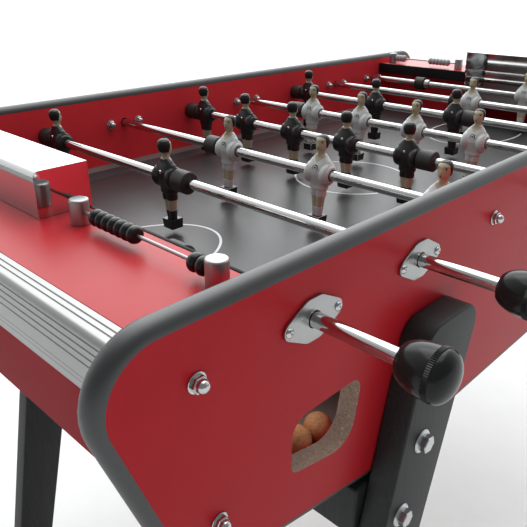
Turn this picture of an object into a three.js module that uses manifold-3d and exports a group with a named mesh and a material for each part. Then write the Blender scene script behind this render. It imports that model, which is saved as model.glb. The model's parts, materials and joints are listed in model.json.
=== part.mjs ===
// Foosball table with telescopic rods, in millimetres, +Z up, standing on Z = 0.
// X runs along the table's length and Y along the rods. Turned half a turn about Z it is the same
// table, with black and white swapped: the black team's handles are at -Y, the white team's at +Y.
import * as THREE from 'three';
import { mergeVertices } from 'three/addons/utils/BufferGeometryUtils.js';
import Module from 'manifold-3d';

const wasm = await Module();
wasm.setup();

// Heights and the main layout.
const AXIS_Z = 840;           // rod axes above the floor
const ROD_COUNT = 8;
const ROD_PITCH = 150;
const WALL_OUT = 352;         // outer face of a side wall, from the middle
const WALL_T = 20;
const WALL_IN = WALL_OUT - WALL_T;
const GAP = 0.3;              // clearance between parts that touch

// Side wall outline, heights measured from the rod axes.
const WALL_TOP = 43.5;
const WALL_BOTTOM = -217;
const WALL_FLAT_X = 425;      // the level part of the lower edge ends here
const WALL_TOE_X = 648;
const WALL_TOE_Z = -172.5;
const WALL_END_X = 720.7;     // where top edge and slanted end would meet before rounding
const END_ROUND = 40;
const TOE_ROUND = 25;
const KNEE_ROUND = 40;
const ROUND_STEPS = 5;
const EDGING_R = 10;
const EDGING_STEPS = 5;

// Rods, men and what sits on them.
const TUBE_R = 6.45;
const TUBE_BORE_R = 5;
const CORE_R = 4.7;           // inner rod
const CORE_END = 330;         // how far past the middle the inner rod reaches
const STUD_HOLE_R = 5;
const TUBE_HOLE_R = 8;
const BUMPER_R = 14.3;
const BUMPER_LEN = 24;
const COLLAR_R = 10.5;
const COLLAR_LEN = 12;
const MAN_HALF = 19.5;        // half the width of a man's two arm rings
const ARM_R = 15;
const ARM_SEGMENTS = 8;
const MAN_LEAN = 0.055;       // how far a figure leans back, per millimetre of height
const MAN_DEPTH = 0.84;       // a figure's depth over its width
// The figure's body from hips to crown, as radius and height above the rod axis.
const MAN_OUTLINE = [[10, -30], [12.6, 9], [5.2, 24], [5.2, 30], [9, 36], [7, 47], [0, 49.5]];
const MAN_LEG_R = 7.6;
const FOOT_TOP = -57;
const FOOT_BOTTOM = -70.5;
const FOOT_HALF = 9.8;
const STOP_GAP = 0.4;         // what is left between a bumper and the wall at the stop
const GOALIE_REACH = 267;     // from the goalkeeper to the outer face of his bumper
const HANDLE_START = 429.6;   // handle's inner end when its rod is pushed fully in
const HANDLE_LEN = 42;
const HANDLE_R = 20;
const HANDLE_NECK_R = 8.5;
const RING_START = 9.6;       // the knurled ring, from the handle's tip
const RING_END = 14.4;
const HANDLE_STEPS = 4;
const SOCKET_LEN = 14;
const SOCKET_R = 6.75;
const TUBE_SEGMENTS = 12;
const HANDLE_SEGMENTS = 14;
const NUT_R = 5.6;
const NUT_LEN = 11;
const WASHER_R = 7.8;
const WASHER_T = 1.6;

// Bearing plates.
const PLATE_CORNER_X = 42.5;   // where a plate's slanted edges meet, before its tips are rounded
const PLATE_HALF_Z = 18.5;
const PLATE_T = 2.5;
const PLATE_TOP_HALF = 8;
const PLATE_TIP_R = 8;
const PLATE_TOP_R = 12;
const PLATE_HOLE_R = 6.9;
const SCREW_X = 28;
const SCREW_R = 4.2;
const SCREW_T = 2.6;

// Playing field.
const FIELD_Z = -78;
const FIELD_T = 10;
const STRIP_W = 35;
const STRIP_RISE = 10.3;
const END_WALL_X = 602;
const END_WALL_T = 16;
const END_WALL_BOTTOM = -100;
const GOAL_HALF = 92;

// End deck, corner profile, end panel.
const DECK_TOP = 32.5;
const DECK_T = 22;
const DECK_IN_X = 551;
const DECK_OUT_X = 662.7;
const PROFILE_IN_X = 663;
const PROFILE_OUT_X = 683;
const PROFILE_BOTTOM = -17;
const PROFILE_T = 3;
const PROFILE_ROUND = 5;
const GROOVE_W = 1.3;
const GROOVE_D = 0.8;
const TOP_GROOVES = [669, 673.8];
const FACE_GROOVES = [25, 19.2, 13.4, 7.3, -5.6, -10.4];
const PANEL_TOP_X = 681.5;
const PANEL_BOTTOM_X = 640;
const PANEL_BOTTOM_Z = -155;
const PANEL_T = 16;

// Goal box.
const BOX_HALF_Y = 94;
const BOX_IN_X = 550;
const BOX_OUT_X = 605;
const BOX_TOP = 77;
const SHEET_T = 1.5;

// Score rails and beads.
const RAIL_X = 583;
const POST_R = 9;
const POST_TOP = 56;
const POST_CHAMFER = 2;
const POST_INNER_Y = 129;
const POST_OUTER_Y = 311.5;
const RAIL_Z = 45;
const RAIL_R = 1.6;
const BEAD_R = 7.8;
const BEAD_HOLE_R = 1.9;
const BEAD_PITCH = 9.16;
const BEAD_WAIST = 5;
const INNER_BEADS_Y = 153;
const OUTER_BEADS_END_Y = POST_OUTER_Y - POST_R - GAP;

// Ball window, in X and height of its four corners, with corner radii.
const WINDOW = [[-545, -87.5, 18], [-545, -141.5, 12], [-463.5, -160, 26], [-450.5, -88, 14]];

// Tray under the field, and the balls on it.
const TRAY_HALF_X = 600;
const TRAY_TOP = -173.5;
const TRAY_T = 12;
const BALL_R = 14;
const BALLS = [[-492.9, -313.2], [-464.8, -314.8]];

// Legs and cross beams.
const LEG_T = 30;
const LEG_TOP = -58;
const LEG_OUT_TOP_X = 391;    // outer edge at the top
const LEG_OUT_SLOPE = 0.21;
const LEG_IN_TOP_X = 291;
const LEG_IN_SLOPE = 0.25;
const LEG_ROUND = 25;
const BEAM_IN_X = 365;
const BEAM_OUT_X = 445;
const BEAM_TOP = -232;
const BEAM_BOTTOM = -296;

const RED = [0.62, 0.05, 0.06];
const BLACK = [0.03, 0.03, 0.03];
const STEEL = [0.8, 0.8, 0.8];

const group = new THREE.Group();
group.name = 'foosball_table';

// ---- helpers ----

function material(color, roughness, metalness) {
  const m = new THREE.MeshStandardMaterial({ roughness, metalness });
  m.color.setRGB(color[0], color[1], color[2]);
  return m;
}

function add(name, geometry, color, roughness, metalness) {
  const g = geometry.index ? geometry.toNonIndexed() : geometry.clone();
  g.deleteAttribute('uv');
  g.translate(0, 0, AXIS_Z);
  g.computeVertexNormals();
  const mesh = new THREE.Mesh(g, material(color, roughness, metalness));
  mesh.name = name;
  group.add(mesh);
}

function halfTurn(geometry) {
  return geometry.clone().rotateZ(Math.PI);
}

// Extrudes a shape drawn in X and Z so that it fills Y from yLow to yHigh.
function prismY(shape, yLow, yHigh, steps = ROUND_STEPS) {
  const settings = { depth: yHigh - yLow, bevelEnabled: false, curveSegments: steps };
  const g = new THREE.ExtrudeGeometry(shape, settings);
  return g.rotateX(Math.PI / 2).translate(0, yHigh, 0);
}

// Extrudes a shape drawn in Y and Z so that it fills X from xLow to xHigh.
function prismX(shape, xLow, xHigh) {
  const g = new THREE.ExtrudeGeometry(shape, { depth: xHigh - xLow, bevelEnabled: false });
  const turn = new THREE.Matrix4().set(0, 0, 1, 0, 1, 0, 0, 0, 0, 1, 0, 0, 0, 0, 0, 1);
  return g.applyMatrix4(turn).translate(xLow, 0, 0);
}

function box(xLow, xHigh, yLow, yHigh, zLow, zHigh) {
  const g = new THREE.BoxGeometry(xHigh - xLow, yHigh - yLow, zHigh - zLow);
  return g.translate((xLow + xHigh) / 2, (yLow + yHigh) / 2, (zLow + zHigh) / 2);
}

// Turns a profile of [radius, y] pairs about the Y axis.
function lathe(profile, segments) {
  return new THREE.LatheGeometry(profile.map(([r, y]) => new THREE.Vector2(r, y)), segments);
}

function rodAlongY(radius, yLow, yHigh, segments) {
  return lathe([[0, yLow], [radius, yLow], [radius, yHigh], [0, yHigh]], segments);
}

function solid(geometry) {
  const g = geometry.clone();
  g.deleteAttribute('uv');
  g.deleteAttribute('normal');
  const welded = mergeVertices(g, 1e-4);
  const index = [];
  const source = welded.index.array;
  for (let i = 0; i < source.length; i += 3) {
    const [a, b, c] = [source[i], source[i + 1], source[i + 2]];
    if (a !== b && b !== c && c !== a) index.push(a, b, c);
  }
  const mesh = new wasm.Mesh({
    numProp: 3,
    vertProperties: Float32Array.from(welded.attributes.position.array),
    triVerts: Uint32Array.from(index),
  });
  return new wasm.Manifold(mesh);
}

function surface(manifold) {
  const mesh = manifold.getMesh();
  const g = new THREE.BufferGeometry();
  g.setAttribute('position', new THREE.BufferAttribute(Float32Array.from(mesh.vertProperties), 3));
  g.setIndex(Array.from(mesh.triVerts));
  return g;
}

function join(parts) {
  return parts.map(solid).reduce((a, b) => a.add(b));
}

// Points of a convex outline with rounded corners; each corner is [x, z, radius], in order.
function roundedOutline(corners, steps) {
  const points = [];
  corners.forEach(([x, z, r], i) => {
    const [px, pz] = corners[(i + corners.length - 1) % corners.length];
    const [nx, nz] = corners[(i + 1) % corners.length];
    const here = new THREE.Vector2(x, z);
    const back = new THREE.Vector2(px, pz).sub(here).normalize();
    const ahead = new THREE.Vector2(nx, nz).sub(here).normalize();
    const half = Math.acos(back.dot(ahead)) / 2;
    const centre = back.clone().add(ahead).normalize().multiplyScalar(r / Math.sin(half)).add(here);
    const start = back.clone().multiplyScalar(r / Math.tan(half)).add(here).sub(centre);
    const turn = Math.PI - 2 * half;
    const side = Math.sign(back.x * ahead.y - back.y * ahead.x);
    for (let k = 0; k <= steps; k += 1) {
      const angle = -side * turn * (k / steps);
      points.push(start.clone().rotateAround(new THREE.Vector2(), angle).add(centre));
    }
  });
  return points;
}

function roundHole(x, z, r, count) {
  const hole = new THREE.Path();
  for (let k = 0; k < count; k += 1) {
    const angle = (-2 * Math.PI * k) / count;
    hole[k ? 'lineTo' : 'moveTo'](x + r * Math.cos(angle), z + r * Math.sin(angle));
  }
  hole.closePath();
  return hole;
}

// ---- cabinet ----

function wallOutline() {
  const corners = [
    [-WALL_END_X, WALL_TOP, END_ROUND],
    [-WALL_TOE_X, WALL_TOE_Z, TOE_ROUND],
    [-WALL_FLAT_X, WALL_BOTTOM, KNEE_ROUND],
    [WALL_FLAT_X, WALL_BOTTOM, KNEE_ROUND],
    [WALL_TOE_X, WALL_TOE_Z, TOE_ROUND],
    [WALL_END_X, WALL_TOP, END_ROUND],
  ];
  return roundedOutline(corners, ROUND_STEPS);
}

function rodX(i) {
  return (i - (ROD_COUNT - 1) / 2) * ROD_PITCH;
}

const BLACK_RODS = [0, 1, 3, 5];

function sideWall() {
  const shape = new THREE.Shape(wallOutline());
  for (let i = 0; i < ROD_COUNT; i += 1) {
    const r = BLACK_RODS.includes(i) ? TUBE_HOLE_R : STUD_HOLE_R;
    shape.holes.push(roundHole(rodX(i), 0, r, TUBE_SEGMENTS));
  }
  shape.holes.push(new THREE.Path(roundedOutline(WINDOW, 4)));
  return prismY(shape, -WALL_OUT, -WALL_IN);
}

// A half-round edging that follows the wall's outline, flat side against the wall's edge.
function edging() {
  const outline = wallOutline();
  const n = outline.length;
  const rows = [];
  outline.forEach((p, i) => {
    const before = outline[(i + n - 1) % n];
    const after = outline[(i + 1) % n];
    const d1 = p.clone().sub(before).normalize();
    const d2 = after.clone().sub(p).normalize();
    const normal = new THREE.Vector2(d1.y + d2.y, -d1.x - d2.x).normalize();
    const stretch = 1 / Math.sqrt((1 + d1.dot(d2)) / 2);
    const row = [];
    for (let k = 0; k <= EDGING_STEPS; k += 1) {
      const angle = Math.PI * (k / EDGING_STEPS - 0.5);
      const out = (GAP + (EDGING_R - GAP) * Math.cos(angle)) * stretch;
      const y = -WALL_OUT + EDGING_R + EDGING_R * Math.sin(angle);
      row.push([p.x + normal.x * out, y, p.y + normal.y * out]);
    }
    rows.push(row);
  });
  const position = [];
  const quad = (a, b, c, d) => position.push(...a, ...b, ...c, ...a, ...c, ...d);
  rows.forEach((row, i) => {
    const next = rows[(i + 1) % n];
    for (let k = 0; k <= EDGING_STEPS; k += 1) {
      const m = (k + 1) % (EDGING_STEPS + 1);
      quad(row[k], row[m], next[m], next[k]);
    }
  });
  const g = new THREE.BufferGeometry();
  g.setAttribute('position', new THREE.Float32BufferAttribute(position, 3));
  return surface(solid(g));
}

function field() {
  const edge = WALL_IN - GAP;
  const low = FIELD_Z - FIELD_T;
  const shape = new THREE.Shape();
  shape.moveTo(-edge, low);
  shape.lineTo(edge, low);
  shape.lineTo(edge, FIELD_Z + STRIP_RISE);
  shape.lineTo(edge - STRIP_W, FIELD_Z);
  shape.lineTo(STRIP_W - edge, FIELD_Z);
  shape.lineTo(-edge, FIELD_Z + STRIP_RISE);
  shape.closePath();
  return prismX(shape, GAP - END_WALL_X, END_WALL_X - GAP);
}

// Shelf with a cut-out for the goalkeeper's swing, and the end wall with the goal mouth under it.
function endDeck() {
  const edge = WALL_IN - GAP;
  const shelf = solid(box(-DECK_OUT_X, -DECK_IN_X, -edge, edge, DECK_TOP - DECK_T, DECK_TOP));
  const wall = solid(box(-END_WALL_X - END_WALL_T, -END_WALL_X, -edge, edge, END_WALL_BOTTOM, DECK_TOP - 1));
  const swing = solid(box(-END_WALL_X, 0, -GOAL_HALF, GOAL_HALF, -DECK_TOP, 2 * DECK_TOP));
  const mouth = solid(box(-DECK_OUT_X, 0, -GOAL_HALF, GOAL_HALF, FIELD_Z, DECK_TOP - DECK_T - GAP));
  return surface(shelf.add(wall).subtract(swing).subtract(mouth));
}

function cornerProfile() {
  const p = new THREE.Path();
  const top = DECK_TOP;
  p.moveTo(-PROFILE_IN_X, top);
  for (const x of TOP_GROOVES) {
    p.lineTo(-x + GROOVE_W / 2, top);
    p.lineTo(-x, top - GROOVE_D);
    p.lineTo(-x - GROOVE_W / 2, top);
  }
  const cx = -PROFILE_OUT_X + PROFILE_ROUND;
  const cz = top - PROFILE_ROUND;
  for (let k = 0; k <= ROUND_STEPS; k += 1) {
    const angle = (Math.PI / 2) * (1 + k / ROUND_STEPS);
    p.lineTo(cx + PROFILE_ROUND * Math.cos(angle), cz + PROFILE_ROUND * Math.sin(angle));
  }
  for (const z of FACE_GROOVES) {
    p.lineTo(-PROFILE_OUT_X, z + GROOVE_W / 2);
    p.lineTo(-PROFILE_OUT_X + GROOVE_D, z);
    p.lineTo(-PROFILE_OUT_X, z - GROOVE_W / 2);
  }
  p.lineTo(-PROFILE_OUT_X, PROFILE_BOTTOM);
  p.lineTo(-PROFILE_OUT_X + PROFILE_T, PROFILE_BOTTOM);
  p.lineTo(-PROFILE_OUT_X + PROFILE_T, top - PROFILE_T - 2);
  p.lineTo(-PROFILE_OUT_X + PROFILE_T + 2, top - PROFILE_T);
  p.lineTo(-PROFILE_IN_X, top - PROFILE_T);
  const shape = new THREE.Shape(p.getPoints());
  return prismY(shape, GAP - WALL_IN, WALL_IN - GAP);
}

function endPanel() {
  const top = PROFILE_BOTTOM - GAP;
  const run = PANEL_TOP_X - PANEL_BOTTOM_X;
  const drop = top - PANEL_BOTTOM_Z;
  const length = Math.hypot(run, drop);
  const inX = (PANEL_T * drop) / length;
  const inZ = (PANEL_T * run) / length;
  const topInX = (PANEL_T * length) / drop;
  const shape = new THREE.Shape();
  shape.moveTo(-PANEL_TOP_X, top);
  shape.lineTo(-PANEL_BOTTOM_X, PANEL_BOTTOM_Z);
  shape.lineTo(-PANEL_BOTTOM_X + inX, PANEL_BOTTOM_Z + inZ);
  shape.lineTo(-PANEL_TOP_X + topInX, top);
  shape.closePath();
  return prismY(shape, GAP - WALL_IN, WALL_IN - GAP);
}

// Folded steel box over the shelf's cut-out, open below and towards the field.
function goalBox() {
  const low = DECK_TOP + GAP;
  const outer = solid(box(-BOX_OUT_X, -BOX_IN_X, -BOX_HALF_Y, BOX_HALF_Y, low, BOX_TOP));
  const inHalf = BOX_HALF_Y - SHEET_T;
  const inner = solid(box(-BOX_OUT_X + SHEET_T, 0, -inHalf, inHalf, 0, BOX_TOP - SHEET_T));
  return surface(outer.subtract(inner));
}

function tray() {
  const edge = WALL_IN - GAP;
  return box(-TRAY_HALF_X, TRAY_HALF_X, -edge, edge, TRAY_TOP - TRAY_T, TRAY_TOP);
}

function ball([x, y]) {
  return new THREE.SphereGeometry(BALL_R, 14, 10).translate(x, y, TRAY_TOP + BALL_R + GAP);
}

function leg(side) {
  const drop = LEG_TOP + AXIS_Z;
  const corners = [
    [-LEG_OUT_TOP_X, LEG_TOP, LEG_ROUND],
    [-LEG_OUT_TOP_X - LEG_OUT_SLOPE * drop, -AXIS_Z, 1],
    [-LEG_IN_TOP_X - LEG_IN_SLOPE * drop, -AXIS_Z, 1],
    [-LEG_IN_TOP_X, LEG_TOP, LEG_ROUND],
  ];
  const middle = side * (WALL_OUT + GAP + LEG_T / 2);
  return prismY(new THREE.Shape(roundedOutline(corners, 5)), middle - LEG_T / 2, middle + LEG_T / 2);
}

function beam() {
  const edge = WALL_OUT;
  return box(-BEAM_OUT_X, -BEAM_IN_X, -edge, edge, BEAM_BOTTOM, BEAM_TOP);
}

// ---- score rails ----

function scoreRail() {
  const low = DECK_TOP + GAP;
  const post = (y) => {
    const profile = [
      [0, low],
      [POST_R, low],
      [POST_R, POST_TOP - POST_CHAMFER],
      [POST_R - POST_CHAMFER, POST_TOP],
      [0, POST_TOP],
    ];
    return lathe(profile, TUBE_SEGMENTS).rotateX(Math.PI / 2).translate(-RAIL_X, y, 0);
  };
  const rail = rodAlongY(RAIL_R, -POST_OUTER_Y, -POST_INNER_Y, 10).translate(-RAIL_X, 0, RAIL_Z);
  return surface(join([post(-POST_INNER_Y), post(-POST_OUTER_Y), rail]));
}

// A row of round-edged beads standing against each other, from yHigh downwards.
function beads(count, yHigh) {
  const half = BEAD_PITCH / 2;
  const profile = [];
  for (let i = 0; i < count; i += 1) {
    const c = -half - i * BEAD_PITCH;
    if (i === 0) profile.push([BEAD_WAIST, c + half]);
    profile.push([BEAD_R, c + half * 0.5]);
    profile.push([BEAD_R, c - half * 0.5]);
    profile.push([BEAD_WAIST, c - half]);
  }
  profile.reverse();
  const low = -count * BEAD_PITCH;
  const closed = [[BEAD_HOLE_R, 0], [BEAD_HOLE_R, low], ...profile, [BEAD_HOLE_R, 0]];
  return lathe(closed, 10).translate(-RAIL_X, yHigh, RAIL_Z);
}

// ---- rods ----

const MEN = { 1: [0], 2: [-136, 136], 3: [-175, 0, 175], 5: [-220, -110, 0, 110, 220] };
const ROD_MEN = [1, 2, 3, 5, 5, 3, 2, 1];

function reach(count) {
  return count === 1 ? GOALIE_REACH : MEN[count][count - 1] + MAN_HALF + BUMPER_LEN;
}

// A player figure around the rod axis, feet down: one turned body, a foot block and a sleeve for the
// arms. The painted figure on it is shaped more finely than this.
function man(y) {
  const low = FOOT_TOP - 1;
  const profile = [[0, low], [MAN_LEG_R, low], ...MAN_OUTLINE];
  const body = lathe(profile, 6).rotateX(Math.PI / 2).scale(MAN_DEPTH, 1, 1);
  const foot = box(-FOOT_HALF, FOOT_HALF, -FOOT_HALF, FOOT_HALF, FOOT_BOTTOM, FOOT_TOP);
  const lean = new THREE.Matrix4().makeShear(0, 0, 0, 0, -MAN_LEAN, 0);
  for (const g of [body, foot]) g.applyMatrix4(lean);
  const arms = rodAlongY(ARM_R, -MAN_HALF, MAN_HALF, ARM_SEGMENTS);
  return [body, foot, arms].map((g) => g.translate(0, y, 0));
}

// Everything fixed on one outer tube: men, rubber bumpers and, for a goalkeeper, the clamp collars.
// Drawn for a black rod, centred on its men, with the handle towards -Y.
function tubeWithMen(count, handleY) {
  const end = reach(count);
  const parts = [rodAlongY(TUBE_R, handleY - SOCKET_LEN, end, TUBE_SEGMENTS)];
  for (const y of MEN[count]) parts.push(...man(y));
  parts.push(rodAlongY(BUMPER_R, end - BUMPER_LEN, end, TUBE_SEGMENTS));
  parts.push(rodAlongY(BUMPER_R, -end, BUMPER_LEN - end, TUBE_SEGMENTS));
  if (count === 1) {
    const inner = end - BUMPER_LEN;
    parts.push(rodAlongY(COLLAR_R, inner - COLLAR_LEN, inner, 8));
    parts.push(rodAlongY(COLLAR_R, -inner, COLLAR_LEN - inner, 8));
  }
  const bore = solid(rodAlongY(TUBE_BORE_R, handleY + 8, end + 10, 12));
  return surface(join(parts).subtract(bore));
}

function innerRod() {
  const face = WALL_OUT + GAP;
  const profile = [
    [0, -CORE_END], [CORE_R, -CORE_END], [CORE_R, face], [WASHER_R, face], [WASHER_R, face + WASHER_T],
    [NUT_R, face + WASHER_T], [NUT_R, face + NUT_LEN - 4],
    [NUT_R * 0.7, face + NUT_LEN - 1], [0, face + NUT_LEN],
  ];
  return lathe(profile, 10);
}

function handle(start) {
  const profile = [
    [0, SOCKET_LEN + 1 - HANDLE_LEN], [SOCKET_R, SOCKET_LEN + 1 - HANDLE_LEN], [SOCKET_R, -HANDLE_LEN],
  ];
  for (let k = HANDLE_STEPS; k >= 0; k -= 1) {
    const angle = (Math.PI / 2) * (k / HANDLE_STEPS);
    const r = HANDLE_NECK_R + (HANDLE_R - HANDLE_NECK_R) * Math.cos(angle);
    profile.push([r, -RING_END - (HANDLE_LEN - RING_END) * Math.sin(angle)]);
  }
  for (let k = 0; k < HANDLE_STEPS; k += 1) {
    const angle = (Math.PI / 2) * (k / HANDLE_STEPS);
    profile.push([HANDLE_R * Math.cos(angle), -RING_START * (1 - Math.sin(angle))]);
  }
  profile.push([0, 0]);
  return lathe(profile, HANDLE_SEGMENTS).rotateZ(Math.PI).translate(0, start - HANDLE_LEN, 0);
}

function bearingPlate() {
  const corners = [
    [-PLATE_CORNER_X, 0, PLATE_TIP_R],
    [-PLATE_TOP_HALF, -PLATE_HALF_Z, PLATE_TOP_R],
    [PLATE_TOP_HALF, -PLATE_HALF_Z, PLATE_TOP_R],
    [PLATE_CORNER_X, 0, PLATE_TIP_R],
    [PLATE_TOP_HALF, PLATE_HALF_Z, PLATE_TOP_R],
    [-PLATE_TOP_HALF, PLATE_HALF_Z, PLATE_TOP_R],
  ];
  const shape = new THREE.Shape(roundedOutline(corners, 2));
  shape.holes.push(roundHole(0, 0, PLATE_HOLE_R, TUBE_SEGMENTS));
  const back = -WALL_OUT - GAP;
  const plate = prismY(shape, back - PLATE_T, back);
  const screw = (x) => {
    const front = back - PLATE_T;
    const head = [
      [0, back - 1], [SCREW_R, back - 1], [SCREW_R, front - 1],
      [SCREW_R * 0.7, front - SCREW_T], [0, front - SCREW_T],
    ];
    return lathe(head.reverse(), 8).translate(x, 0, 0);
  };
  return surface(join([plate, screw(-SCREW_X), screw(SCREW_X)]));
}

function addRod(i) {
  const black = BLACK_RODS.includes(i);
  const team = black ? 'black' : 'white';
  const count = ROD_MEN[i];
  const name = `rod_${i + 1}_${team}`;
  const travel = WALL_IN - STOP_GAP - reach(count);
  const handleY = -HANDLE_START - travel;
  const place = (g) => (black ? g : g.rotateZ(Math.PI)).translate(rodX(i), 0, 0);
  const cloth = black ? BLACK : [0.75, 0.75, 0.75];
  add(`${name}_inner_rod`, place(innerRod()), STEEL, 0.12, 1);
  add(`${name}_tube_and_men`, place(tubeWithMen(count, handleY).translate(0, travel, 0)), cloth, 0.3, 0.3);
  add(`${name}_handle`, place(handle(handleY).translate(0, travel, 0)), BLACK, 0.2, 0);
  add(`${name}_bearing_plate`, place(bearingPlate()), STEEL, 0.2, 1);
}

// ---- assembly ----

function addPair(nearName, farName, geometry, color, roughness, metalness) {
  add(nearName, geometry, color, roughness, metalness);
  add(farName, halfTurn(geometry), color, roughness, metalness);
}

add('playing_field', field(), [0.1, 0.1, 0.11], 0.35, 0);
addPair('side_wall_black', 'side_wall_white', sideWall(), RED, 0.4, 0);
addPair('edging_black', 'edging_white', edging(), BLACK, 0.45, 0);
addPair('end_deck_black', 'end_deck_white', endDeck(), RED, 0.35, 0);
addPair('end_profile_black', 'end_profile_white', cornerProfile(), [0.7, 0.7, 0.7], 0.35, 1);
addPair('end_panel_black', 'end_panel_white', endPanel(), RED, 0.4, 0);
addPair('goal_box_black', 'goal_box_white', goalBox(), STEEL, 0.05, 1);
addPair('score_rail_black', 'score_rail_white', scoreRail(), STEEL, 0.3, 1);
add('beads_black_seven', beads(7, -INNER_BEADS_Y), BLACK, 0.25, 0);
add('beads_black_two', beads(2, 2 * BEAD_PITCH - OUTER_BEADS_END_Y), BLACK, 0.25, 0);
add('beads_white_six', halfTurn(beads(6, -INNER_BEADS_Y)), [0.7, 0.7, 0.7], 0.25, 0);
add('beads_white_three', halfTurn(beads(3, 3 * BEAD_PITCH - OUTER_BEADS_END_Y)), [0.7, 0.7, 0.7], 0.25, 0);
add('ball_tray', tray(), [0.25, 0.2, 0.17], 0.7, 0);
BALLS.forEach((spot, i) => add(`ball_${i + 1}`, ball(spot), [0.6, 0.35, 0.15], 0.8, 0));
addPair('leg_black_near', 'leg_white_far', leg(-1), BLACK, 0.4, 0);
addPair('leg_black_far', 'leg_white_near', leg(1), BLACK, 0.4, 0);
addPair('cross_beam_black', 'cross_beam_white', beam(), BLACK, 0.5, 0);
for (let i = 0; i < ROD_COUNT; i += 1) addRod(i);

export default group;
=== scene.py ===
"""Foosball table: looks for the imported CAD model. Lengths are millimetres from the rod axes' height
(Z) and the table's middle (X, Y) until a mesh is done, when it is scaled to metres."""
import json
import math

import bmesh
import bpy
from mathutils import Matrix, Vector


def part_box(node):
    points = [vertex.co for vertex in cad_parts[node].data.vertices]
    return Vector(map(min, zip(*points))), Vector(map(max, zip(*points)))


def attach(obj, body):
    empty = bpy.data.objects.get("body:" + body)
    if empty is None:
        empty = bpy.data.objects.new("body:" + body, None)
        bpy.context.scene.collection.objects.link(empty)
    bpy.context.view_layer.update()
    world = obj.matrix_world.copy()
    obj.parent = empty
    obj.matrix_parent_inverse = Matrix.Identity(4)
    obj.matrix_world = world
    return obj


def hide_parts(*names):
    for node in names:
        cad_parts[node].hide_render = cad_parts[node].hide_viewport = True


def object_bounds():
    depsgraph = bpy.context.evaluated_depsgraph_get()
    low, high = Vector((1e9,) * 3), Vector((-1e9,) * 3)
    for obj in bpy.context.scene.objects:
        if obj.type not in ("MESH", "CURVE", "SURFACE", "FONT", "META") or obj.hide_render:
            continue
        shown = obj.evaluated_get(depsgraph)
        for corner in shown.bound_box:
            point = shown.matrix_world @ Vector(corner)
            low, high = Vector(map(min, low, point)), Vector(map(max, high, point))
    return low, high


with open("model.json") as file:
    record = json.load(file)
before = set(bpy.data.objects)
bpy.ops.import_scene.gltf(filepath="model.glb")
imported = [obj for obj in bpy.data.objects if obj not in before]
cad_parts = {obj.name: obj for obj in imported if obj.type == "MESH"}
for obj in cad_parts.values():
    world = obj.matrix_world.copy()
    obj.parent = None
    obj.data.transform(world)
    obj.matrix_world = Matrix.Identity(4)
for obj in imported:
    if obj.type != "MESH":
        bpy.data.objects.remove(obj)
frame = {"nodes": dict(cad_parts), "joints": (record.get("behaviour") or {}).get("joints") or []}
CAD_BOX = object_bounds()
NODES = frame["nodes"]
HINGES = {j["name"]: j for j in frame["joints"] if j["type"] == "hinge"}
AXIS = frame["joints"][0]["pos_m"][2] * 1000

# ---------------------------------------------------------------- sizes

WALL_OUT, WALL_IN = 352.0, 332.0
EDGING_R = 10.0
GAP = 0.3
CLEAR_Y = WALL_IN - GAP               # how far the parts between the walls reach
WALL_CORNERS = [(-720.7, 43.5, 40), (-648, -172.5, 25), (-425, -217, 40),
                (425, -217, 40), (648, -172.5, 25), (720.7, 43.5, 40)]
WINDOW_CORNERS = [(-545, -87.5, 18), (-545, -141.5, 12), (-463.5, -160, 26), (-450.5, -88, 14)]
WALL_BOLTS = ((-639, 0), (-625, -131))
LEG_IN, LEG_OUT, LEG_TOP, LEG_LOW = 352.3, 382.3, -58, -840
LEG_BOLTS = ((-382, -188), (-407, -269))
TUBE_R, TUBE_BORE_R, CORE_R, CORE_END = 6.45, 5.0, 4.7, 330
TUBE_HOLE_R, STUD_HOLE_R = 7.9, 5.0
HANDLE_LEN = 42.0
PLATE_T, SCREW_X = 2.5, 28.5
BUMPER_R, BUMPER_LEN = 14.3, 24.0
MAN_HALF, ARM_R, MAN_LEAN = 19.5, 15.0, 0.055
POST_Y, POST_R, RAIL_X, RAIL_Z = (129.0, 311.5), 9.0, 583.0, 45.0
BEAD_PITCH, BEAD_R, BEADS_START = 9.16, 7.8, 153.0
DECK_IN, DECK_OUT, DECK_LOW = 551.0, 662.7, 10.5
BOX_X, BOX_Y, BOX_TOP = (-605.0, -550.0), 94.0, 77.0
DECK_TOP = 32.5
CUT_X, CUT_Y = -602.0, 92.0          # goalkeeper's cut-out in the deck, and the end wall's inner face
PROFILE_X = -683.0
PANEL_T, PANEL_X, PANEL_TOP, PANEL_LOW, PANEL_RUN = 16, -681.5, -17.3, -155.0, 41.5
FIELD_Z, FIELD_END = -78.0, 601.7
STRIP_IN, STRIP_OUT, STRIP_RISE = 297.2, 331.7, 10.3
MEN = {1: [0], 2: [-136, 136], 3: [-175, 0, 175], 5: [-220, -110, 0, 110, 220]}
REACH = {1: 267.0, **{n: MEN[n][-1] + MAN_HALF + BUMPER_LEN for n in (2, 3, 5)}}
ROD_MEN = [1, 2, 3, 5, 5, 3, 2, 1]
BLACK_RODS = (0, 1, 3, 5)


# ---------------------------------------------------------------- materials

def shader(name, color, rough, metal=0.0, **sockets):
    m = bpy.data.materials.new(name)
    m.use_nodes = True
    b = m.node_tree.nodes["Principled BSDF"]
    b.inputs["Base Color"].default_value = (*color, 1)
    b.inputs["Roughness"].default_value = rough
    b.inputs["Metallic"].default_value = metal
    for key, value in sockets.items():
        b.inputs[key.replace("_", " ")].default_value = value
    return m, m.node_tree.nodes, m.node_tree.links, b


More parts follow.
